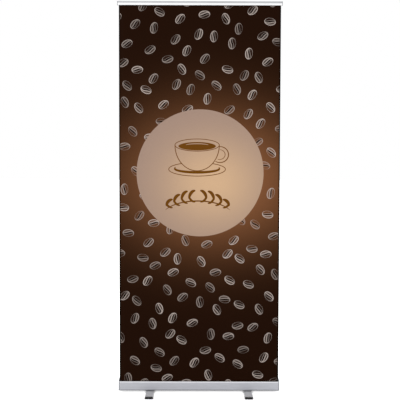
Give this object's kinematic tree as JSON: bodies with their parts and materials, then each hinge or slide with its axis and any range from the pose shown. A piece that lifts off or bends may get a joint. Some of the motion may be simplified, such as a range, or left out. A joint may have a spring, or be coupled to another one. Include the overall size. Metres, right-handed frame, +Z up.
{
  "type": "roll-up banner stand",
  "caption": "Retractable banner stand: a printed sheet drawn up from a floor housing with swivel feet, held by a telescopic pole and a clamp rail",
  "frame": {"origin": "on the floor, midway between the feet and the ends of the stand", "axes": "+Z up, the printed front faces -Y, X along the width"},
  "size_m": [0.866, 0.34, 2.0785],
  "materials": {
    "anodised_aluminium": "satin silver anodised extrusion with fine lengthwise lines",
    "bright_aluminium": "bright silver anodised extrusion",
    "steel": "zinc plated steel",
    "grey_plastic": "fine-grained moulded plastic, mid grey",
    "black_plastic": "fine-grained moulded plastic, black",
    "nylon": "natural nylon",
    "rubber": "matt black rubber",
    "printed_film": "satin printed banner film, dark brown print with line drawings"
  },
  "bodies": {
    "base": {"base_housing": "anodised_aluminium", "end_cap_left": "grey_plastic", "end_cap_right": "grey_plastic", "cap_screw_left_front": "steel", "cap_screw_left_rear": "steel", "cap_screw_right_front": "steel", "cap_screw_right_rear": "steel", "axle_screw": "steel", "spring_rod": "steel", "torsion_spring": "steel", "foot_left_pivot_bolt": "steel", "foot_left_pivot_nut": "steel", "foot_left_pivot_washer": "nylon", "foot_right_pivot_bolt": "steel", "foot_right_pivot_nut": "steel", "foot_right_pivot_washer": "nylon", "pole_socket": "black_plastic", "socket_screw_left": "steel", "socket_screw_right": "steel", "pole_lower_tube": "anodised_aluminium", "pole_lower_plug": "nylon", "lock_lower_ferrule": "nylon", "banner_sheet": "printed_film"},
    "roller": {"roller_tube": "anodised_aluminium", "roller_plug_left": "nylon", "roller_plug_right": "nylon", "spring_drive_collar": "nylon", "banner_roll": "printed_film"},
    "foot_left": {"foot_left_bar": "anodised_aluminium", "foot_left_cap_front": "black_plastic", "foot_left_cap_rear": "black_plastic"},
    "foot_right": {"foot_right_bar": "anodised_aluminium", "foot_right_cap_front": "black_plastic", "foot_right_cap_rear": "black_plastic"},
    "pole_middle": {"pole_middle_tube": "anodised_aluminium", "pole_middle_plug": "nylon", "lock_upper_ferrule": "nylon"},
    "pole_upper": {"pole_upper_tube": "anodised_aluminium", "pole_upper_plug": "nylon", "pole_hook": "black_plastic", "rail_rear_jaw": "anodised_aluminium", "rail_grip_strip": "rubber", "rail_cap_left": "grey_plastic", "rail_cap_right": "grey_plastic"},
    "rail_jaw": {"rail_front_jaw": "bright_aluminium"},
    "lower_lock": {"lock_lower_collar": "black_plastic"},
    "upper_lock": {"lock_upper_collar": "black_plastic"}
  },
  "joints": [
    {"name": "pole_middle_slide", "type": "slide", "parent": "base", "child": "pole_middle", "axis": [0, 0, 1], "range_m": [-0.6, 0], "deforming": ["banner_sheet"]},
    {"name": "pole_upper_slide", "type": "slide", "parent": "pole_middle", "child": "pole_upper", "axis": [0, 0, 1], "range_m": [-0.6, 0]},
    {"name": "roller_spin", "type": "hinge", "parent": "base", "child": "roller", "pos_m": [0, -0.02308, 0.0435], "axis": [1, 0, 0], "range_deg": [0, 4584]},
    {"name": "foot_left_swivel", "type": "hinge", "parent": "base", "child": "foot_left", "pos_m": [-0.262, 0, 0.005], "axis": [0, 0, -1], "range_deg": [0, 90]},
    {"name": "foot_right_swivel", "type": "hinge", "parent": "base", "child": "foot_right", "pos_m": [0.262, 0, 0.005], "axis": [0, 0, 1], "range_deg": [0, 90]},
    {"name": "rail_jaw_hinge", "type": "hinge", "parent": "pole_upper", "child": "rail_jaw", "pos_m": [0, -0.04073, 2.0759], "axis": [-1, 0, 0], "range_deg": [0, 60]},
    {"name": "lower_lock_twist", "type": "hinge", "parent": "base", "child": "lower_lock", "pos_m": [0, 0.00744, 0.75], "axis": [0, 0, 1], "range_deg": [0, 60]},
    {"name": "upper_lock_twist", "type": "hinge", "parent": "pole_middle", "child": "upper_lock", "pos_m": [0, 0.00744, 1.4], "axis": [0, 0, 1], "range_deg": [0, 60]}
  ],
  "couplings": [
    {"joint": "pole_upper_slide", "follows": "pole_middle_slide", "ratio": 1},
    {"joint": "roller_spin", "follows": "pole_middle_slide", "rad_per_m": -133.33}
  ]
}
